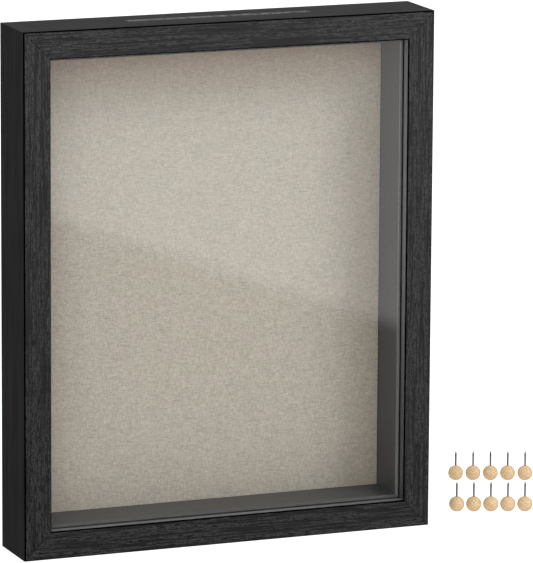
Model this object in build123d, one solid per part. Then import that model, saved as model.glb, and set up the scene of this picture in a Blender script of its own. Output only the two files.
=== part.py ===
from build123d import *
from math import sqrt
import os

# Shadow box: a mitred case with a glazed front, a slot in its top rail, a linen-covered board
# at the back held by turn buttons, and ten loose ball-headed pins standing beside it.
# Millimetres. The origin is the centre of the case's footprint, +Z is up and the glass faces -Y.

# Case
SIGHT_W = 203.2        # clear opening at the front, 8 by 10 inches
SIGHT_H = 254.0
FACE_W = 15.2          # width of the rail's front face, from the outside to the sight edge
CASE_D = 37.6
LIP_D = 5.4            # depth of the lip in front of the glass
WALL_T = 8.0           # thickness of the rail behind the lip
FRONT_ARRIS = 0.7      # bevel on the rail's front edges
BACK_ARRIS = 0.4
MITRE_ARRIS = 0.15     # bevel on the mitred ends of the front face

# What the case holds, by depth behind the front face
GLASS_T = 2.0
LINEN_D = 33.6         # front of the linen
FABRIC_T = 0.3
BOARD_T = 3.2
LINER_STEP = 1.8       # how far the liner stands inside the sight edge
SEAT_GAP = 0.5         # gap round the glass and the linen-covered board
LINER_GAP = 0.1        # gap between the liner strips and the rails, the glass and the linen
FOLD_W = 18.0          # linen turned over behind the board

# Slot in the top
SLOT_L = 104.0
SLOT_W = 5.0
SLOT_D = 20.1          # depth of the slot's centre line behind the front face

# V-nails across the mitres
NAIL_WING = 4.2
NAIL_T = 0.6
NAIL_H = 10.0
NAIL_AT = 4.6          # distance of the bend from the two outer faces
NAIL_SUNK = 0.3

# Turn buttons
BUTTON_L = 24.0
BUTTON_W = 6.4
BUTTON_T = 1.0
BUTTON_LIFT = 0.1      # gap under the plate
BUTTON_TIP = 4.0       # length of the raised tip
TIP_RISE = 1.0
BUTTONS_X = 62.0       # pivots on the top and bottom rails, each side of the middle
BUTTONS_Z = 72.0       # pivots on the side rails, above and below the middle
PIVOT_R = 1.1
PIVOT_CLEARANCE = 0.06
SCREW_HEAD_R = 2.4
SCREW_HEAD_H = 1.2
SCREW_L = 10.0
CROSS_W = 0.5
CROSS_L = 2.4
CROSS_D = 0.6

# Sawtooth hanger
HANGER_L = 38.0
HANGER_H = 6.8
HANGER_T = 0.7
HANGER_TAB = 6.0
HANGER_RAMP = 2.0
HANGER_RISE = 1.3
TOOTH_PITCH = 2.4
TOOTH_D = 1.2
TEETH = 8
BRAD_R = 0.6
BRAD_L = 8.0
BRAD_HEAD_R = 1.5
BRAD_HEAD_H = 0.5

# Bumpers on the back
BUMPER_R = 3.3
BUMPER_H = 3.6
BUMPER_ROUND = 0.8
BUMPER_IN = 16.0       # centre from the case's side

# Pins, standing on their heads
HEAD_R = 4.25
HEAD_FLAT_R = 0.8      # flat on the crown, which the pin stands on
NEEDLE_R = 0.5
NEEDLE_OUT = 8.7       # needle beyond the head
NEEDLE_IN = 5.0        # needle inside the head
NEEDLE_TIP = 2.0       # length of the taper
PINS_PER_ROW = 5
REAR_ROW = ((172.9, 72.4), (209.8, 58.8))
FRONT_ROW = ((143.9, 4.8), (179.4, -8.1))

# Worked out
CASE_W = SIGHT_W + 2 * FACE_W
CASE_H = SIGHT_H + 2 * FACE_W
FRONT_Y = -CASE_D / 2
BACK_Y = CASE_D / 2
CAVITY_W = CASE_W - 2 * WALL_T
CAVITY_H = CASE_H - 2 * WALL_T
LINER_T = FACE_W + LINER_STEP - WALL_T - LINER_GAP
GLASS_BACK_D = LIP_D + GLASS_T
PANEL_W = CAVITY_W - 2 * SEAT_GAP
PANEL_H = CAVITY_H - 2 * SEAT_GAP
PANEL_T = BOARD_T + 2 * FABRIC_T
WALL_MID = WALL_T / 2
SIDES = ("top", "bottom", "left", "right")


def write(node, shape):
    export_step(shape, f"parts/{node}.step")


def rail_length(side):
    return CASE_W if side in ("top", "bottom") else CASE_H


def on_side(side, piece, inset=0.0):
    """Moves a piece made for the bottom rail, centred on X with its outer edge on Z 0, to its side."""
    places = {
        "bottom": Pos(0, 0, inset),
        "top": Pos(0, 0, CASE_H - inset) * Rot(0, 180, 0),
        "left": Pos(-CASE_W / 2 + inset, 0, CASE_H / 2) * Rot(0, 90, 0),
        "right": Pos(CASE_W / 2 - inset, 0, CASE_H / 2) * Rot(0, -90, 0),
    }
    return places[side] * piece


def mitred_strip(outline, length, width):
    """A strip along X with the given section in Y and Z, and both ends cut at 45 degrees."""
    half = length / 2
    section = make_face(Plane.YZ * Polyline(*outline, close=True))
    bar = extrude(section, half, both=True)
    ends = [(-half, 0), (half, 0), (half - width, width), (width - half, width)]
    wedge = extrude(make_face(Plane.XZ * Polyline(*ends, close=True)), CASE_D, both=True)
    return bar & wedge


def box_between(low, high):
    size = [b - a for a, b in zip(low, high)]
    centre = [(a + b) / 2 for a, b in zip(low, high)]
    return Pos(*centre) * Box(*size)


# Rails: an L section, with the lip in front of the glass and the wall behind it.
def rail(side):
    outline = [
        (FRONT_Y + FRONT_ARRIS, 0),
        (FRONT_Y, FRONT_ARRIS),
        (FRONT_Y, FACE_W - FRONT_ARRIS),
        (FRONT_Y + FRONT_ARRIS, FACE_W),
        (FRONT_Y + LIP_D, FACE_W),
        (FRONT_Y + LIP_D, WALL_T),
        (BACK_Y, WALL_T),
        (BACK_Y, BACK_ARRIS),
        (BACK_Y - BACK_ARRIS, 0),
    ]
    bar = mitred_strip(outline, rail_length(side), FACE_W)
    mitred_edges = bar.faces().sort_by(Axis.Y)[0].edges().filter_by(Axis.X, reverse=True)
    return on_side(side, chamfer(mitred_edges, MITRE_ARRIS))


def ticket_slot():
    middle = FRONT_Y + SLOT_D
    low = (-SLOT_L / 2, middle - SLOT_W / 2, CASE_H - FACE_W - 2 * LINER_STEP)
    high = (SLOT_L / 2, middle + SLOT_W / 2, CASE_H + 1)
    return box_between(low, high)


# V-nails, driven into each mitre from the back.
def v_nail(corner_x, corner_z):
    in_x = -1 if corner_x > 0 else 1
    in_z = -1 if corner_z > 0 else 1
    wing = NAIL_WING / sqrt(2)
    slant = NAIL_T * sqrt(2)
    bend = (corner_x + in_x * NAIL_AT, corner_z + in_z * NAIL_AT)
    half_bend = slant / sqrt(2) / 2
    outline = [
        (bend[0] + in_x * half_bend, bend[1] + in_z * half_bend),
        (bend[0] + in_x * (half_bend + wing), bend[1] + in_z * (half_bend - wing * 0.6)),
        (bend[0] + in_x * (wing - half_bend), bend[1] - in_z * (half_bend + wing * 0.6)),
        (bend[0] - in_x * half_bend, bend[1] - in_z * half_bend),
        (bend[0] - in_x * (half_bend + wing * 0.6), bend[1] + in_z * (wing - half_bend)),
        (bend[0] + in_x * (half_bend - wing * 0.6), bend[1] + in_z * (half_bend + wing)),
    ]
    face = make_face(Plane.XZ * Polyline(*outline, close=True))
    return Pos(0, BACK_Y - NAIL_SUNK, 0) * extrude(face, NAIL_H, dir=(0, -1, 0))


# Turn buttons: a flat plate with a raised tip. The pivot is on the bottom rail's middle line.
def button_plate():
    inner = BACK_Y + BUTTON_LIFT
    tail = -BUTTON_W / 2
    tip = tail + BUTTON_L
    outline = [
        (tail, inner),
        (tip - BUTTON_TIP, inner),
        (tip, inner + TIP_RISE),
        (tip, inner + TIP_RISE + BUTTON_T),
        (tip - BUTTON_TIP, inner + BUTTON_T),
        (tail, inner + BUTTON_T),
    ]
    bent = extrude(make_face(Polyline(*outline, close=True)), BUTTON_W, both=True)
    plan = Plane.XZ * Pos((tail + tip) / 2, 0) * SlotOverall(BUTTON_L, BUTTON_W)
    plate = bent & extrude(plan, CASE_D, dir=(0, 1, 0))
    hole = Pos(0, BACK_Y, 0) * Rot(90, 0, 0) * Cylinder(PIVOT_R + PIVOT_CLEARANCE, 6)
    return plate - hole


def button_screw():
    under_head = BUTTON_LIFT + BUTTON_T + PIVOT_CLEARANCE
    head = Pos(0, 0, under_head) * extrude(Circle(SCREW_HEAD_R), SCREW_HEAD_H)
    head = fillet(head.edges().group_by(Axis.Z)[-1], SCREW_HEAD_H * 0.6)
    shank = Pos(0, 0, under_head - SCREW_L) * extrude(Circle(PIVOT_R), SCREW_L)
    top = under_head + SCREW_HEAD_H
    bar = Pos(0, 0, top) * Box(CROSS_L, CROSS_W, 2 * CROSS_D)
    screw = shank + head - bar - Rot(0, 0, 90) * bar
    return Pos(0, BACK_Y, 0) * Rot(-90, 0, 0) * screw


def button_places():
    """(side, place along the bottom rail's X before it is moved, way the free end points)"""
    for side in SIDES:
        reach = BUTTONS_X if side in ("top", "bottom") else BUTTONS_Z
        for way in (-1, 1):
            yield side, way * reach, way


def set_button(piece, side, along, way):
    turned = piece if way > 0 else Rot(0, 180, 0) * piece
    return on_side(side, Pos(along, 0, WALL_MID) * turned)


# Sawtooth hanger on the top rail, its middle raised off the wood.
def sawtooth_hanger():
    half = HANGER_L / 2
    left = [
        (-half, BACK_Y),
        (-half + HANGER_TAB, BACK_Y),
        (-half + HANGER_TAB + HANGER_RAMP, BACK_Y + HANGER_RISE),
    ]
    inner = left + [(-x, y) for x, y in reversed(left)]
    outer = [(x, y + HANGER_T) for x, y in reversed(inner)]
    strip = extrude(make_face(Polyline(*inner, *outer, close=True)), HANGER_H, dir=(0, 0, 1))
    for i in range(TEETH):
        x = (i - (TEETH - 1) / 2) * TOOTH_PITCH
        notch = [(x - TOOTH_PITCH / 2, -0.1), (x + TOOTH_PITCH / 2, -0.1), (x, TOOTH_D)]
        strip -= extrude(make_face(Plane.XZ * Polyline(*notch, close=True)), CASE_D, dir=(0, 1, 0))
    return Pos(0, 0, CASE_H - WALL_MID - HANGER_H / 2) * strip


def hanger_brad(x):
    shank = extrude(Circle(BRAD_R), -BRAD_L) + extrude(Circle(BRAD_R), HANGER_T)
    head = Pos(0, 0, HANGER_T) * extrude(Circle(BRAD_HEAD_R), BRAD_HEAD_H)
    head = fillet(head.edges().group_by(Axis.Z)[-1], BRAD_HEAD_H * 0.7)
    return Pos(x, BACK_Y, CASE_H - WALL_MID) * Rot(-90, 0, 0) * (shank + head)


def bumper(x, z):
    disc = extrude(Circle(BUMPER_R), BUMPER_H)
    disc = fillet(disc.edges().group_by(Axis.Z)[-1], BUMPER_ROUND)
    return Pos(x, BACK_Y, z) * Rot(-90, 0, 0) * disc


# Linen wrapped round the board: its front, its four edges and a margin turned over behind.
def linen_fabric():
    front = FRONT_Y + LINEN_D
    rear = front + PANEL_T
    middle_z = CASE_H / 2
    whole = box_between(
        (-PANEL_W / 2, front, middle_z - PANEL_H / 2),
        (PANEL_W / 2, rear, middle_z + PANEL_H / 2),
    )
    window = box_between(
        (-PANEL_W / 2 + FOLD_W, front + FABRIC_T, middle_z - PANEL_H / 2 + FOLD_W),
        (PANEL_W / 2 - FOLD_W, rear + 1, middle_z + PANEL_H / 2 - FOLD_W),
    )
    return whole - pin_board() - window


def pin_board():
    width = PANEL_W - 2 * FABRIC_T
    height = PANEL_H - 2 * FABRIC_T
    middle = FRONT_Y + LINEN_D + FABRIC_T + BOARD_T / 2
    return Pos(0, middle, CASE_H / 2) * Box(width, BOARD_T, height)


def glass_pane():
    return Pos(0, FRONT_Y + LIP_D + GLASS_T / 2, CASE_H / 2) * Box(PANEL_W, GLASS_T, PANEL_H)


def liner(side):
    front = FRONT_Y + GLASS_BACK_D
    rear = FRONT_Y + LINEN_D - LINER_GAP
    outline = [(front, 0), (front, LINER_T), (rear, LINER_T), (rear, 0)]
    length = rail_length(side) - 2 * (WALL_T + LINER_GAP)
    return on_side(side, mitred_strip(outline, length, LINER_T), WALL_T + LINER_GAP)


# Pins: a ball with a small flat on its crown, on a tapered steel needle.
def pin_centre_height():
    return sqrt(HEAD_R**2 - HEAD_FLAT_R**2)


def needle(x, y):
    top = pin_centre_height() + HEAD_R + NEEDLE_OUT
    foot = pin_centre_height() + HEAD_R - NEEDLE_IN
    shank = Pos(x, y, foot) * extrude(Circle(NEEDLE_R), top - foot - NEEDLE_TIP)
    point = Cone(NEEDLE_R, NEEDLE_R * 0.1, NEEDLE_TIP, align=(Align.CENTER, Align.CENTER, Align.MIN))
    return shank + Pos(x, y, top - NEEDLE_TIP) * point


def pin_head(x, y):
    centre = pin_centre_height()
    ball = Pos(x, y, centre) * Sphere(HEAD_R)
    below = Pos(x, y, -HEAD_R) * Box(3 * HEAD_R, 3 * HEAD_R, 2 * HEAD_R)
    return ball - below - needle(x, y)


def pin_places():
    for first, last in (REAR_ROW, FRONT_ROW):
        for i in range(PINS_PER_ROW):
            share = i / (PINS_PER_ROW - 1)
            yield tuple(a + (b - a) * share for a, b in zip(first, last))


os.makedirs("parts", exist_ok=True)

corners = [(x, z) for x in (-CASE_W / 2, CASE_W / 2) for z in (0, CASE_H)]
v_nails = [v_nail(x, z) for x, z in corners]
screws = [set_button(button_screw(), *place) for place in button_places()]
brads = [hanger_brad(x) for x in (-HANGER_L / 2 + HANGER_TAB / 2, HANGER_L / 2 - HANGER_TAB / 2)]

for side in SIDES:
    solid = rail(side)
    for fastener in v_nails + screws + brads:
        solid -= fastener
    strip = liner(side)
    if side == "top":
        solid -= ticket_slot()
        strip -= ticket_slot()
    write(f"rail_{side}", solid)
    write(f"liner_{side}", strip)

hanger = sawtooth_hanger()
for fastener in brads:
    hanger -= fastener

write("corner_v_nails", Compound(children=v_nails))
write("glass_pane", glass_pane())
write("linen_fabric", linen_fabric())
write("pin_board", pin_board())
write("button_screws", Compound(children=screws))
write("sawtooth_hanger", hanger)
write("hanger_brads", Compound(children=brads))

bumper_x = CASE_W / 2 - BUMPER_IN
bumpers = [bumper(x, z) for x in (-bumper_x, bumper_x) for z in (WALL_MID, CASE_H - WALL_MID)]
write("back_bumpers", Compound(children=bumpers))

for number, place in enumerate(button_places(), 1):
    write(f"turn_button_{number:02d}", set_button(button_plate(), *place))

for number, (x, y) in enumerate(pin_places(), 1):
    write(f"pin_{number:02d}_head", pin_head(x, y))
    write(f"pin_{number:02d}_needle", needle(x, y))
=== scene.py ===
import math

import bmesh
import bpy
from mathutils import Matrix, Vector, noise


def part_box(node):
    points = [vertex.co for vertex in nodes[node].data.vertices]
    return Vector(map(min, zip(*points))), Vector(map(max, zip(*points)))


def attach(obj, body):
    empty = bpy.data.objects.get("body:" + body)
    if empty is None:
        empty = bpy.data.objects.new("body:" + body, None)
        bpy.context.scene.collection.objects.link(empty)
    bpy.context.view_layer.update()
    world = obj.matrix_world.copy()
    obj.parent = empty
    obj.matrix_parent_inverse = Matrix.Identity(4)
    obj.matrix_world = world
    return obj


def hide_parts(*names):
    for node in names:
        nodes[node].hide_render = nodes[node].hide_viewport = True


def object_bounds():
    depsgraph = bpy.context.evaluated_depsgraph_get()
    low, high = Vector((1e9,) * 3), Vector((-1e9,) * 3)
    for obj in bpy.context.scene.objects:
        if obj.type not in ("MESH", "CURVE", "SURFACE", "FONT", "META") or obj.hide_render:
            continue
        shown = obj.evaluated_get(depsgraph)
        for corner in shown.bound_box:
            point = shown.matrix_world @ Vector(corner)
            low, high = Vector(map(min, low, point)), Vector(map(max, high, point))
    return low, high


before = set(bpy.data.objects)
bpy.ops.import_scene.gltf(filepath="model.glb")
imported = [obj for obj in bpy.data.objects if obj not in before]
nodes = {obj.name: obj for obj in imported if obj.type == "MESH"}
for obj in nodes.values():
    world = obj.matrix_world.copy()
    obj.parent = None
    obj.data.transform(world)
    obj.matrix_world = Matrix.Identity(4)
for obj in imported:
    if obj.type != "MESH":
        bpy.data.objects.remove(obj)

MM = 0.001
cad_low, cad_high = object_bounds()
rails_low, rails_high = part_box("rail_bottom")
case_high_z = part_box("rail_top")[1].z
liner_low, liner_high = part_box("liner_bottom")
linen_low, linen_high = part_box("linen_fabric")

FRONT_Y = rails_low.y
HALF_W = rails_high.x
MIDDLE_Z = case_high_z / 2
FACE_W = rails_high.z
PIN_NUMBERS = range(1, 11)
BUTTON_NUMBERS = range(1, 9)


# Camera: the photograph's angle and distance.
CAMERA_PLACE = Vector((-1.0180, -2.6203, 0.7105))
CAMERA_AZIMUTH = math.radians(21.76)
CAMERA_DOWN = math.radians(11.46)
CAMERA_ROLL = math.radians(0.35)
CAMERA_LENS = 341.3
CAMERA_SENSOR = 36
CAMERA_NEAR = 0.1
CAMERA_FAR = 60


def camera_axes():
    """The camera's right, up and forward directions."""
    sin_a, cos_a = math.sin(CAMERA_AZIMUTH), math.cos(CAMERA_AZIMUTH)
    sin_e, cos_e = math.sin(CAMERA_DOWN), math.cos(CAMERA_DOWN)
    forward = Vector((sin_a * cos_e, cos_a * cos_e, -sin_e))
    level = Vector((cos_a, -sin_a, 0))
    above = level.cross(forward)
    right = level * math.cos(CAMERA_ROLL) + above * math.sin(CAMERA_ROLL)
    up = above * math.cos(CAMERA_ROLL) - level * math.sin(CAMERA_ROLL)
    return right, up, forward


def make_camera():
    data = bpy.data.cameras.new("camera")
    data.lens = CAMERA_LENS
    data.sensor_width = CAMERA_SENSOR
    data.clip_start = CAMERA_NEAR
    data.clip_end = CAMERA_FAR
    camera = bpy.data.objects.new("camera", data)
    bpy.context.scene.collection.objects.link(camera)
    right, up, forward = camera_axes()
    turn = Matrix((right, up, -forward)).transposed()
    camera.matrix_world = Matrix.Translation(CAMERA_PLACE) @ turn.to_4x4()
    bpy.context.scene.camera = camera


make_camera()


# Shader helpers
BEVEL_LEAN = 0.3   # least part of a bevel's normal towards the front, and towards one side
BEVEL_ALONG = 0.1  # greatest part of it along the rail


class Shader:
    """One material's node tree, with short calls for the nodes that the materials below share."""

    def __init__(self, name, **sockets):
        self.material = bpy.data.materials.new(name)
        self.material.use_nodes = True
        self.tree = self.material.node_tree
        self.surface = self.tree.nodes["Principled BSDF"]
        self.output = self.tree.nodes["Material Output"]
        for socket, value in sockets.items():
            self.surface.inputs[socket.replace("_", " ")].default_value = value
        self.place = self.add("ShaderNodeTexCoord").outputs["Object"]
        split = self.add("ShaderNodeSeparateXYZ")
        self.link(self.place, split.inputs[0])
        self.x, self.y, self.z = split.outputs

    def add(self, kind, **settings):
        node = self.tree.nodes.new(kind)
        for key, value in settings.items():
            setattr(node, key, value)
        return node

    def link(self, source, target):
        """Links an output to a socket, or sets the socket to a plain value."""
        if hasattr(source, "is_output"):
            self.tree.links.new(source, target)
        else:
            target.default_value = source

    def math(self, operation, a, b=0.0, c=0.0):
        node = self.add("ShaderNodeMath", operation=operation)
        for socket, value in zip(node.inputs, (a, b, c)):
            self.link(value, socket)
        return node.outputs[0]

    def between(self, value, start, end):
        """0 at start and 1 at end, smooth between them."""
        node = self.add("ShaderNodeMapRange", interpolation_type="SMOOTHSTEP")
        self.link(value, node.inputs["Value"])
        node.inputs["From Min"].default_value = start
        node.inputs["From Max"].default_value = end
        return node.outputs["Result"]

    def scaled(self, value, low, high):
        """Carries 0 to 1 onto low to high."""
        return self.math("MULTIPLY_ADD", value, high - low, low)

    def stretched(self, scale, shift=(0, 0, 0)):
        """Object coordinates scaled on each axis, so a noise on them has that many cells in a metre."""
        node = self.add("ShaderNodeMapping")
        self.link(self.place, node.inputs["Vector"])
        node.inputs["Location"].default_value = shift
        node.inputs["Scale"].default_value = scale
        return node.outputs[0]

    def noise(self, vector, scale=1.0, detail=3.0, roughness=0.5):
        node = self.add("ShaderNodeTexNoise")
        self.link(vector, node.inputs["Vector"])
        node.inputs["Scale"].default_value = scale
        node.inputs["Detail"].default_value = detail
        node.inputs["Roughness"].default_value = roughness
        return node.outputs["Fac"]

    def mix(self, factor, a, b):
        node = self.add("ShaderNodeMix", data_type="RGBA")
        self.link(factor, node.inputs[0])
        self.link(a, node.inputs[6])
        self.link(b, node.inputs[7])
        return node.outputs[2]

    def colour(self, value):
        self.link(value, self.surface.inputs["Base Color"])

    def roughness(self, value):
        self.link(value, self.surface.inputs["Roughness"])

    def bump(self, height, distance, strength=1.0):
        node = self.add("ShaderNodeBump")
        self.link(height, node.inputs["Height"])
        self.link(strength, node.inputs["Strength"])
        node.inputs["Distance"].default_value = distance
        self.link(node.outputs[0], self.surface.inputs["Normal"])

    def inward(self):
        """How far a point is inside the case's outline."""
        from_side = self.math("SUBTRACT", HALF_W, self.math("ABSOLUTE", self.x))
        from_end = self.math("SUBTRACT", self.z, MIDDLE_Z)
        from_end = self.math("SUBTRACT", MIDDLE_Z, self.math("ABSOLUTE", from_end))
        return self.math("MINIMUM", from_side, from_end)

    def bevelled(self):
        """1 on the bevels along the rails, whose faces lean between the front and one side."""
        geometry = self.add("ShaderNodeNewGeometry")
        split = self.add("ShaderNodeSeparateXYZ")
        self.link(geometry.outputs["True Normal"], split.inputs[0])
        leans = [self.math("ABSOLUTE", split.outputs[axis]) for axis in "XYZ"]
        along = self.math("MINIMUM", leans[0], leans[2])
        across = self.math("MAXIMUM", leans[0], leans[2])
        to_front = self.math("GREATER_THAN", leans[1], BEVEL_LEAN)
        to_side = self.math("GREATER_THAN", across, BEVEL_LEAN)
        tilted = self.math("MULTIPLY", to_front, to_side)
        return self.math("MULTIPLY", tilted, self.math("LESS_THAN", along, BEVEL_ALONG))


def grey(value):
    return (value, value, value, 1)


def wear(shader, *node_names):
    """Puts a material on CAD nodes."""
    for node_name in node_names:
        mesh = nodes[node_name].data
        mesh.materials.clear()
        mesh.materials.append(shader.material)


# Black film with an embossed wood grain: strong on the front, faint on the sides. The bevels are nearly
# black, partly darker stretched film and partly painted dark reflection; the lip's inner faces are
# painted lighter as a painted reflection, and raw board shows round the slot.
# Each grain is the noise's cells in a metre, along the rail and across it.
LINES = (32, 1200)
PORES = (190, 1600)
SPECKS = (800, 1500)
PATCHES = (14, 90)
STREAKS = (8, 300)
HAIRS = (45, 900)
ON_FRONT = 0.05 * MM        # how near the front plane a point has to be
ON_LIP = 0.04 * MM          # how far short of the sight edge the lip's inner face starts
LIP_HIGHLIGHT_LOW = 50 * MM        # heights between which the painted reflection on the upright rails' inner faces grows lighter
LIP_HIGHLIGHT_HIGH = 190 * MM
SLOT_L = 104 * MM
SLOT_W = 5 * MM
SLOT_D = 20.1 * MM          # from the front to the slot's centre line
CHIPPED = 0.5 * MM          # how uneven the raw edge is
RAW_EDGE = 0.36 * MM        # how far the raw edge reaches from the slot


def film(name, along_x, slot=None):
    s = Shader(name, Specular_IOR_Level=0.5)

    def run(grain_size):
        along, across = grain_size
        return s.stretched((along, across, across) if along_x else (across, across, along))

    front = s.math("LESS_THAN", s.y, FRONT_Y + ON_FRONT)
    lines = s.between(s.noise(run(LINES), detail=4, roughness=0.55), 0.41, 0.52)
    pores = s.between(s.noise(run(PORES), detail=2), 0.37, 0.51)
    specks = s.between(s.noise(run(SPECKS), detail=2), 0.38, 0.58)
    patches = s.between(s.noise(run(PATCHES), detail=2), 0.35, 0.65)
    pitted = s.math("MULTIPLY", pores, s.scaled(specks, 0.35, 1.0))
    grain = s.math("MULTIPLY", s.scaled(lines, 0.12, 1.0), pitted)
    embossed = s.mix(grain, grey(0.0002), grey(0.035))
    embossed = s.mix(s.math("MULTIPLY", patches, 0.15), embossed, grey(0.010))
    streaks = s.noise(run(STREAKS), detail=5, roughness=0.7)
    hairs = s.between(s.noise(run(HAIRS), detail=2), 0.35, 0.65)
    plain = s.mix(s.between(streaks, 0.38, 0.62), grey(0.0005), grey(0.0150))
    plain = s.mix(s.math("MULTIPLY", hairs, 0.5), plain, grey(0.0220))
    # Painted reflection: the lip's inner faces are painted lighter than the film, and on the upright
    # rails they are painted lighter towards the top.
    inside_lip = s.math("GREATER_THAN", s.inward(), FACE_W - ON_LIP)
    high_up = s.between(s.z, LIP_HIGHLIGHT_LOW, LIP_HIGHLIGHT_HIGH)
    lip_reflection = grey(0.145) if along_x else s.mix(high_up, grey(0.070), grey(0.220))
    lip_reflection = s.mix(s.math("MULTIPLY", streaks, 0.3), lip_reflection, grey(0.05))
    plain = s.mix(inside_lip, plain, lip_reflection)
    colour = s.mix(front, plain, embossed)
    # The bevels are painted nearly black: partly darker stretched film, partly painted dark reflection;
    # Metallic on them dims their gloss.
    arris = s.bevelled()
    colour = s.mix(arris, colour, grey(0.0002))
    rough = s.math("MULTIPLY_ADD", lines, -0.06, s.scaled(front, 0.40, 0.28))
    if slot:
        low, high = slot
        chipped = s.math("MULTIPLY", s.noise(s.stretched((500, 900, 900)), detail=3), CHIPPED)
        across = s.math("MAXIMUM", s.math("SUBTRACT", low.y, s.y), s.math("SUBTRACT", s.y, high.y))
        beside = s.math("MAXIMUM", s.math("SUBTRACT", low.x, s.x), s.math("SUBTRACT", s.x, high.x))
        outside = s.math("MAXIMUM", across, beside)
        raw = s.math("LESS_THAN", s.math("ADD", outside, chipped), RAW_EDGE)
        fibre = s.between(s.noise(s.stretched((380, 900, 600)), detail=4, roughness=0.7), 0.3, 0.62)
        board = s.mix(fibre, grey(0.07), (0.235, 0.235, 0.23, 1))
        colour = s.mix(raw, colour, board)
        rough = s.math("MAXIMUM", rough, s.math("MULTIPLY", raw, 0.85))
    s.colour(colour)
    s.roughness(rough)
    s.link(arris, s.surface.inputs["Metallic"])
    s.bump(s.math("ADD", grain, lines), 0.02 * MM, s.scaled(front, 0.2, 0.6))
    return s


slot_low = Vector((-SLOT_L / 2, FRONT_Y + SLOT_D - SLOT_W / 2, 0))
slot_high = Vector((SLOT_L / 2, FRONT_Y + SLOT_D + SLOT_W / 2, 0))
wear(film("film_across_slotted", True, (slot_low, slot_high)), "rail_top")
wear(film("film_across", True), "rail_bottom")
wear(film("film_upright", False), "rail_left", "rail_right")


# Dark satin paper on the liner strips, with painted light and shade: painted lighter at the glass;
# painted nearly black as painted shadow behind the lip and along the top strip's edge at the glass;
# painted dark as painted shade at the linen.
LINER_AT_GLASS = 0.1 * MM     # depth of the edge painted lighter, as painted light
BEHIND_ACROSS = 0.35 * MM     # how far in from the sight edge the lip's painted shadow reaches
BEHIND_UPRIGHT = 0.1 * MM
LINEN_SHADOW_START = 1.6 * MM  # distances from the linen between which the paper is painted dark, as painted shade
LINEN_SHADOW_FULL = 0.7 * MM


def liner_paper(name, along_x):
    s = Shader(name, Specular_IOR_Level=0.5)
    run = (10, 900, 900) if along_x else (900, 900, 10)
    streaks = s.between(s.noise(s.stretched(run), detail=4, roughness=0.6), 0.3, 0.7)
    fibres = s.noise(s.stretched((1400, 1400, 1400)), detail=3)
    paper = s.mix(streaks, (0.064, 0.066, 0.070, 1), (0.079, 0.081, 0.086, 1))
    paper = s.mix(s.math("MULTIPLY", fibres, 0.3), paper, (0.061, 0.063, 0.067, 1))
    at_glass = s.math("LESS_THAN", s.y, liner_low.y + LINER_AT_GLASS)
    # Painted light: the end face at the glass is painted lighter.
    paper = s.mix(at_glass, paper, grey(0.12 if along_x else 0.20))
    reach = FACE_W + (BEHIND_ACROSS if along_x else BEHIND_UPRIGHT)
    behind_lip = s.math("LESS_THAN", s.inward(), reach)
    if along_x:
        behind_lip = s.math("MAXIMUM", behind_lip, s.math("GREATER_THAN", s.z, MIDDLE_Z))
    at_linen = s.between(s.y, liner_high.y - LINEN_SHADOW_START, liner_high.y - LINEN_SHADOW_FULL)
    # Painted shadow behind the lip and along the top strip's edge at the glass, and painted shade next
    # to the linen.
    dark = s.math("MAXIMUM", s.math("MULTIPLY", behind_lip, at_glass), at_linen)
    s.colour(s.mix(dark, paper, grey(0.002)))
    s.roughness(s.scaled(fibres, 0.36, 0.5))
    s.bump(s.math("ADD", streaks, fibres), 0.03 * MM, 0.4)
    return s


wear(liner_paper("liner_paper_across", True), "liner_top", "liner_bottom")
wear(liner_paper("liner_paper_upright", False), "liner_left", "liner_right")


# Clear glass: it mirrors on its near side and lets everything else straight through.
GLASS_IOR = 1.78


def clear_glass():
    s = Shader("clear_glass")
    s.tree.nodes.remove(s.surface)
    mirror = s.add("ShaderNodeBsdfGlossy")
    mirror.inputs["Roughness"].default_value = 0.0
    through = s.add("ShaderNodeBsdfTransparent")
    through.inputs["Color"].default_value = (0.985, 0.99, 0.987, 1)
    fresnel = s.add("ShaderNodeFresnel")
    fresnel.inputs["IOR"].default_value = GLASS_IOR
    geometry = s.add("ShaderNodeNewGeometry")
    facing = s.math("SUBTRACT", 1, geometry.outputs["Backfacing"])
    smears = s.scaled(s.noise(s.stretched((25, 25, 25)), detail=4), 0.94, 1.06)
    share = s.math("MULTIPLY", s.math("MULTIPLY", fresnel.outputs[0], facing), smears)
    both = s.add("ShaderNodeMixShader")
    s.link(share, both.inputs[0])
    s.link(through.outputs[0], both.inputs[1])
    s.link(mirror.outputs[0], both.inputs[2])
    s.link(both.outputs[0], s.output.inputs["Surface"])
    return s


wear(clear_glass(), "glass_pane")


# Linen: plain weave of uneven natural yarns, with painted shade, warmer and darker, on its front near
# the top and the sides.
THREAD = 0.62 * MM
TOP_PAINTED_SHADE = 42 * MM           # distances from the sight edge
SIDE_PAINTED_SHADE = (4 * MM, 26 * MM)
EDGE_PAINTED_SHADE = (5 * MM, 15 * MM)
ON_LINEN_FRONT = 0.5 * MM      # how near the linen's front plane a point has to be


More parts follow.
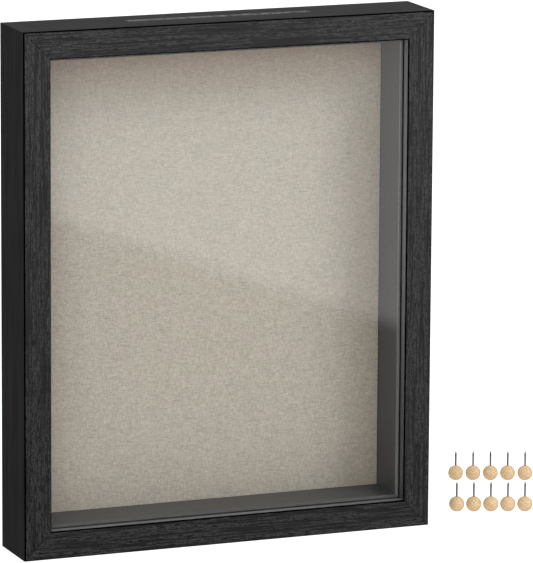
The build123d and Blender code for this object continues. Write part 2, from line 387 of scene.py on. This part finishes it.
def linen():
    s = Shader("linen", Specular_IOR_Level=0.15, Sheen_Weight=0.1, Sheen_Roughness=0.5)
    sway = s.math("MULTIPLY", s.noise(s.stretched((120, 120, 120)), detail=2), 1.2 * MM)
    across = s.math("MULTIPLY", s.math("ADD", s.x, sway), math.pi / THREAD)
    upward = s.math("MULTIPLY", s.math("ADD", s.z, sway), math.pi / THREAD)
    over = s.scaled(s.math("MULTIPLY", s.math("SINE", across), s.math("SINE", upward)), 0.5, 1.0)
    warp = s.math("ABSOLUTE", s.math("SINE", across))
    weft = s.math("ABSOLUTE", s.math("SINE", upward))
    lifted = s.math("MULTIPLY", warp, over)
    sunk = s.math("MULTIPLY", weft, s.math("SUBTRACT", 1, over))
    weave = s.math("MAXIMUM", lifted, sunk)
    upright = s.noise(s.stretched((2100, 900, 450)), detail=2, roughness=0.6)
    level = s.noise(s.stretched((400, 900, 2100)), detail=2, roughness=0.6)
    slub_up = s.between(s.noise(s.stretched((1500, 50, 150), shift=(3, 1, 7))), 0.60, 0.74)
    slub_level = s.between(s.noise(s.stretched((130, 50, 1500), shift=(5, 2, 1))), 0.57, 0.72)
    slubs = s.math("MAXIMUM", s.math("MULTIPLY", slub_up, 0.7), slub_level)
    yarns = s.math("MULTIPLY_ADD", level, 0.50, s.math("MULTIPLY", upright, 0.46))
    yarns = s.math("MULTIPLY_ADD", weave, 0.42, yarns)
    tone = s.between(yarns, 0.46, 0.94)
    warmth = s.between(s.noise(s.stretched((75, 75, 75)), detail=3, roughness=0.6), 0.35, 0.65)
    dark = s.mix(warmth, (0.360, 0.313, 0.264, 1), (0.352, 0.316, 0.264, 1))
    light = s.mix(warmth, (0.640, 0.575, 0.500, 1), (0.630, 0.578, 0.500, 1))
    colour = s.mix(tone, dark, light)
    colour = s.mix(s.math("MULTIPLY", slubs, 0.45), colour, (0.30, 0.27, 0.225, 1))
    # Painted shade: the front is painted warmer and darker near the top and the sides, and most of all
    # along the top edge.
    from_top = s.math("SUBTRACT", case_high_z - FACE_W, s.z)
    from_side = s.math("SUBTRACT", HALF_W - FACE_W, s.math("ABSOLUTE", s.x))
    shaded_top = s.math("SUBTRACT", 1, s.between(from_top, 0, TOP_PAINTED_SHADE))
    shaded_side = s.math("SUBTRACT", 1, s.between(from_side, *SIDE_PAINTED_SHADE))
    shaded = s.math("MAXIMUM", shaded_top, s.math("MULTIPLY", shaded_side, 0.30))
    shaded_edge = s.math("SUBTRACT", 1, s.between(from_top, *EDGE_PAINTED_SHADE))
    shade = s.mix(shaded, (1, 1, 1, 1), (0.86, 0.745, 0.665, 1))
    shade = s.mix(shaded_edge, shade, (0.76, 0.655, 0.58, 1))
    on_front = s.math("LESS_THAN", s.y, linen_low.y + ON_LINEN_FRONT)
    shade = s.mix(on_front, (1, 1, 1, 1), shade)
    shaded_colour = s.add("ShaderNodeMix", data_type="RGBA", blend_type="MULTIPLY")
    shaded_colour.inputs[0].default_value = 1.0
    s.link(colour, shaded_colour.inputs[6])
    s.link(shade, shaded_colour.inputs[7])
    s.colour(shaded_colour.outputs[2])
    s.roughness(s.scaled(tone, 0.95, 0.8))
    height = s.math("ADD", s.math("MULTIPLY_ADD", slubs, 0.6, weave), s.math("ADD", upright, level))
    s.bump(height, 0.10 * MM, 0.7)
    return s


FOLD_W = 18 * MM           # cloth turned over behind the board
EDGE_R = 0.4 * MM
CLOTH_T = 0.28 * MM
FRONT_CELLS = (54, 66)
EDGE_STEPS = 4
BACK_STEPS = 9
SLACK = 0.05 * MM          # waviness of the front
SLACK_START = 12 * MM      # flat margin round it, and how far the waviness takes to grow
SLACK_RUN = 20 * MM
SLACK_WAVES = 60
WELD = 0.01 * MM


def wrapped_rings(half_w, half_h, depth):
    """(half width, half height, depth) of each ring of the cloth, from the front's edge to its hem."""
    for i in range(EDGE_STEPS + 1):
        turn = i / EDGE_STEPS * math.pi / 2
        grow = EDGE_R * (math.sin(turn) - 1)
        yield half_w + grow, half_h + grow, EDGE_R * (1 - math.cos(turn))
    for i in range(EDGE_STEPS + 1):
        turn = i / EDGE_STEPS * math.pi / 2
        grow = EDGE_R * (math.cos(turn) - 1)
        yield half_w + grow, half_h + grow, depth - EDGE_R * (1 - math.sin(turn))
    for i in range(1, BACK_STEPS + 1):
        grow = -EDGE_R - (FOLD_W - EDGE_R) * i / BACK_STEPS
        yield half_w + grow, half_h + grow, depth


def ring_points(half_w, half_h):
    """Points round a rectangle, as many on each side as the front's grid has cells."""
    across, up = FRONT_CELLS
    for i in range(across):
        yield half_w * (2 * i / across - 1), -half_h
    for i in range(up):
        yield half_w, half_h * (2 * i / up - 1)
    for i in range(across):
        yield half_w * (1 - 2 * i / across), half_h
    for i in range(up):
        yield -half_w, half_h * (1 - 2 * i / up)


def linen_cloth():
    """Cloth stretched over the board and turned over behind it, with mitred corners."""
    low, high = linen_low, linen_high
    middle = (low + high) / 2
    half_w, half_h = (high.x - low.x) / 2, (high.z - low.z) / 2
    mesh = bmesh.new()
    across, up = FRONT_CELLS
    flat_w, flat_h = half_w - EDGE_R, half_h - EDGE_R

    def vert(x, z, depth):
        from_edge = min(flat_w - abs(x), flat_h - abs(z))
        inside = min(1.0, max(0.0, (from_edge - SLACK_START) / SLACK_RUN))
        wave = noise.noise(Vector((x, z, 0)) * SLACK_WAVES)
        slack = SLACK * inside * wave if depth == 0 else 0
        return mesh.verts.new((middle.x + x, low.y + depth + slack, middle.z + z))

    def grid_row(z):
        return [vert(flat_w * (2 * i / across - 1), z, 0) for i in range(across + 1)]

    grid = [grid_row(flat_h * (2 * j / up - 1)) for j in range(up + 1)]
    for j in range(up):
        for i in range(across):
            mesh.faces.new((grid[j][i], grid[j][i + 1], grid[j + 1][i + 1], grid[j + 1][i]))
    rings = []
    for ring_w, ring_h, depth in wrapped_rings(half_w, half_h, high.y - low.y):
        rings.append([vert(x, z, depth) for x, z in ring_points(ring_w, ring_h)])
    for inner, outer in zip(rings, rings[1:]):
        for i in range(len(inner)):
            k = (i + 1) % len(inner)
            mesh.faces.new((inner[i], outer[i], outer[k], inner[k]))
    bmesh.ops.remove_doubles(mesh, verts=mesh.verts, dist=WELD)
    bmesh.ops.recalc_face_normals(mesh, faces=mesh.faces)
    data = bpy.data.meshes.new("linen_cloth")
    mesh.to_mesh(data)
    mesh.free()
    for polygon in data.polygons:
        polygon.use_smooth = True
    cloth = bpy.data.objects.new("linen_cloth", data)
    bpy.context.scene.collection.objects.link(cloth)
    thick = cloth.modifiers.new("thickness", "SOLIDIFY")
    thick.thickness = CLOTH_T
    thick.offset = -1
    cloth.data.materials.append(linen().material)
    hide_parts("linen_fabric")
    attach(cloth, "back")
    depth = high.y - low.y


linen_cloth()


# Fibreboard, seen at the back inside the turned-over linen.
def fibreboard():
    s = Shader("fibreboard", Specular_IOR_Level=0.25)
    fibre = s.noise(s.stretched((900, 900, 900)), detail=6, roughness=0.75)
    flakes = s.between(s.noise(s.stretched((2600, 2600, 2600)), detail=2), 0.62, 0.72)
    clouds = s.noise(s.stretched((22, 22, 22)), detail=3)
    colour = s.mix(s.between(fibre, 0.3, 0.7), (0.30, 0.19, 0.10, 1), (0.46, 0.32, 0.19, 1))
    colour = s.mix(s.math("MULTIPLY", clouds, 0.4), colour, (0.36, 0.25, 0.15, 1))
    colour = s.mix(s.math("MULTIPLY", flakes, 0.6), colour, (0.14, 0.08, 0.04, 1))
    s.colour(colour)
    s.roughness(s.scaled(fibre, 0.6, 0.9))
    s.bump(fibre, 0.08 * MM, 0.5)
    return s


wear(fibreboard(), "pin_board")


# Metal
def plated_steel(name, shade, fine):
    s = Shader(name, Metallic=1.0)
    brushed = s.noise(s.stretched((fine, fine, fine * 0.12)), detail=4, roughness=0.6)
    spots = s.between(s.noise(s.stretched((350, 350, 350)), detail=4, roughness=0.7), 0.52, 0.75)
    colour = s.mix(brushed, grey(shade * 0.82), grey(shade))
    tarnish = (shade * 0.62, shade * 0.58, shade * 0.50, 1)
    s.colour(s.mix(s.math("MULTIPLY", spots, 0.55), colour, tarnish))
    s.roughness(s.math("ADD", s.scaled(brushed, 0.22, 0.34), s.math("MULTIPLY", spots, 0.2)))
    s.bump(brushed, 0.02 * MM, 0.4)
    return s


buttons = [f"turn_button_{i:02d}" for i in BUTTON_NUMBERS]
wear(plated_steel("zinc_plate", 0.86, 900), *buttons, "sawtooth_hanger")
wear(plated_steel("screw_steel", 0.72, 1400), "button_screws", "hanger_brads", "corner_v_nails")


# The pins' needles are drawn wire with a darker ground tip.
TIP_START = 4.2 * MM    # distances below the point
TIP_FULL = 1.8 * MM


def needle_steel():
    s = Shader("needle_steel", Metallic=1.0)
    tip_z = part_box("pin_01_needle")[1].z
    ground = s.between(s.z, tip_z - TIP_START, tip_z - TIP_FULL)
    rings = s.noise(s.stretched((300, 300, 5000)), detail=3)
    drawn = s.mix(rings, grey(0.36), grey(0.46))
    s.colour(s.mix(ground, drawn, grey(0.13)))
    s.roughness(s.scaled(rings, 0.25, 0.4))
    s.bump(rings, 0.01 * MM, 0.3)
    return s


wear(needle_steel(), *[f"pin_{i:02d}_needle" for i in PIN_NUMBERS])


# Turned beech balls, each cut from the wood at its own angle and off the rings' centre.
RING_SCALE = 240
RING_OFFSET = (6 * MM, 3 * MM, 0)


def ball_wood(number):
    s = Shader(f"ball_wood_{number:02d}", Specular_IOR_Level=0.4, Coat_Weight=0.15, Coat_Roughness=0.25)
    low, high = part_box(f"pin_{number:02d}_head")
    centre = (low + high) / 2
    turn = (0.5 + 0.37 * number, 0.3 * number, 1.1 * number)
    local = s.add("ShaderNodeVectorMath", operation="SUBTRACT")
    s.link(s.place, local.inputs[0])
    local.inputs[1].default_value = centre
    turned = s.add("ShaderNodeMapping")
    s.link(local.outputs[0], turned.inputs["Vector"])
    turned.inputs["Rotation"].default_value = turn
    turned.inputs["Location"].default_value = RING_OFFSET
    rings = s.add("ShaderNodeTexWave", wave_type="RINGS", rings_direction="Z")
    s.link(turned.outputs[0], rings.inputs["Vector"])
    rings.inputs["Scale"].default_value = RING_SCALE
    rings.inputs["Distortion"].default_value = 2.5
    rings.inputs["Detail"].default_value = 3
    rings.inputs["Detail Scale"].default_value = 1.5
    flecks = s.add("ShaderNodeMapping")
    s.link(turned.outputs[0], flecks.inputs["Vector"])
    flecks.inputs["Scale"].default_value = (2000, 2000, 1100)
    flecked = s.between(s.noise(flecks.outputs[0], detail=2), 0.48, 0.66)
    soft = s.noise(turned.outputs[0], scale=260, detail=3)
    colour = s.mix(rings.outputs["Fac"], (0.66, 0.44, 0.225, 1), (0.78, 0.57, 0.335, 1))
    colour = s.mix(s.math("MULTIPLY", soft, 0.4), colour, (0.80, 0.62, 0.39, 1))
    colour = s.mix(s.math("MULTIPLY", flecked, 0.6), colour, (0.46, 0.28, 0.13, 1))
    s.colour(colour)
    s.roughness(s.scaled(soft, 0.42, 0.6))
    s.bump(s.math("ADD", rings.outputs["Fac"], flecked), 0.02 * MM, 0.4)
    return s


for pin_number in PIN_NUMBERS:
    wear(ball_wood(pin_number), f"pin_{pin_number:02d}_head")


def bumper_rubber():
    s = Shader("bumper_rubber", Specular_IOR_Level=0.45)
    dust = s.noise(s.stretched((700, 700, 700)), detail=4, roughness=0.7)
    s.colour(s.mix(dust, grey(0.012), grey(0.034)))
    s.roughness(s.scaled(dust, 0.5, 0.8))
    s.bump(dust, 0.04 * MM, 0.4)
    return s


wear(bumper_rubber(), "back_bumpers")


# Floor and light
FLOOR_SIZE = 12.0
FLOOR_GLOW = 0.86    # light of its own, which keeps it white


def make_floor():
    mesh = bmesh.new()
    bmesh.ops.create_grid(mesh, x_segments=1, y_segments=1, size=FLOOR_SIZE / 2)
    data = bpy.data.meshes.new("floor")
    mesh.to_mesh(data)
    mesh.free()
    floor = bpy.data.objects.new("floor", data)
    floor.location.z = cad_low.z
    bpy.context.scene.collection.objects.link(floor)
    s = Shader("pale_floor", Roughness=0.9, Specular_IOR_Level=0.0)
    s.surface.inputs["Base Color"].default_value = grey(0.45)
    s.surface.inputs["Emission Color"].default_value = grey(1.0)
    s.surface.inputs["Emission Strength"].default_value = FLOOR_GLOW
    data.materials.append(s.material)
    floor.visible_glossy = False
    floor.visible_diffuse = False


make_floor()


def softbox(name, place, size, power):
    """A square lamp aimed at the middle of the case."""
    data = bpy.data.lights.new(name, "AREA")
    data.shape = "SQUARE"
    data.size = size
    data.energy = power
    lamp = bpy.data.objects.new(name, data)
    lamp.location = place
    lamp.rotation_mode = "QUATERNION"
    lamp.rotation_quaternion = (case_middle - Vector(place)).to_track_quat("-Z", "Y")
    lamp.visible_glossy = False
    bpy.context.scene.collection.objects.link(lamp)


case_middle = Vector((0, 0, MIDDLE_Z))
softbox("key", (1.7, -1.75, 2.3), 1.1, 43)
softbox("fill", (-1.6, -2.6, 1.2), 1.6, 18)


# World: white to the camera, a soft ambient light to the surfaces, and its own surroundings to
# reflections: a bright screen in front, above a slanting edge, and dim elsewhere.
REFLECTED_EDGE = (Vector((0.3269, -0.9264, -0.1871)), Vector((0.3814, -0.9014, -0.2051)))
EDGE_SOFTNESS = 0.0022
MIRROR_BRIGHT = 1.1
MIRROR_DIM = 0.02
SCREEN_AXIS = Vector((0.36, -0.93, 0.0))
SCREEN_START = 0.55     # parts of a direction along the screen's axis
SCREEN_FULL = 0.80
MIRROR_LOW = 0.07
MIRROR_HIGH = 0.19
MIRROR_SPAN = 0.35      # parts of a direction upwards, to each side of level
AMBIENT_LOW = 1.06
AMBIENT_HIGH = 0.80
AMBIENT_SPAN = 0.6
UP = Vector((0, 0, 1))


def make_world():
    world = bpy.data.worlds.new("studio")
    bpy.context.scene.world = world
    world.use_nodes = True
    tree = world.node_tree
    tree.nodes.clear()

    def add(kind, **settings):
        node = tree.nodes.new(kind)
        for key, value in settings.items():
            setattr(node, key, value)
        return node

    def ranged(value, low, high, start, end):
        node = add("ShaderNodeMapRange", interpolation_type="SMOOTHSTEP")
        tree.links.new(value, node.inputs["Value"])
        for socket, number in zip(node.inputs[1:5], (low, high, start, end)):
            node.inputs[socket.name].default_value = number
        return node.outputs["Result"]

    def mixed(factor, a, b):
        node = add("ShaderNodeMix", data_type="FLOAT")
        for value, socket in zip((factor, a, b), (node.inputs[0], node.inputs[2], node.inputs[3])):
            if hasattr(value, "is_output"):
                tree.links.new(value, socket)
            else:
                socket.default_value = value
        return node.outputs[0]

    direction = add("ShaderNodeTexCoord").outputs["Generated"]

    def along(vector):
        node = add("ShaderNodeVectorMath", operation="DOT_PRODUCT")
        tree.links.new(direction, node.inputs[0])
        node.inputs[1].default_value = vector
        return node.outputs["Value"]

    normal = REFLECTED_EDGE[0].cross(REFLECTED_EDGE[1]).normalized()
    normal *= 1 if normal.z > 0 else -1
    screen = ranged(along(normal), -EDGE_SOFTNESS, EDGE_SOFTNESS, MIRROR_DIM, MIRROR_BRIGHT)
    surroundings = ranged(along(UP), -MIRROR_SPAN, MIRROR_SPAN, MIRROR_LOW, MIRROR_HIGH)
    in_front = ranged(along(SCREEN_AXIS), SCREEN_START, SCREEN_FULL, 0, 1)
    mirrored = mixed(in_front, surroundings, screen)
    path = add("ShaderNodeLightPath")
    ambient = ranged(along(UP), -AMBIENT_SPAN, AMBIENT_SPAN, AMBIENT_LOW, AMBIENT_HIGH)
    level = mixed(path.outputs["Is Glossy Ray"], ambient, mirrored)
    level = mixed(path.outputs["Is Camera Ray"], level, 1.0)
    background = add("ShaderNodeBackground")
    tree.links.new(level, background.inputs["Strength"])
    output = add("ShaderNodeOutputWorld")
    tree.links.new(background.outputs[0], output.inputs["Surface"])
    background.inputs["Color"].default_value = grey(1.0)


make_world()

bpy.context.scene.view_settings.view_transform = "Standard"
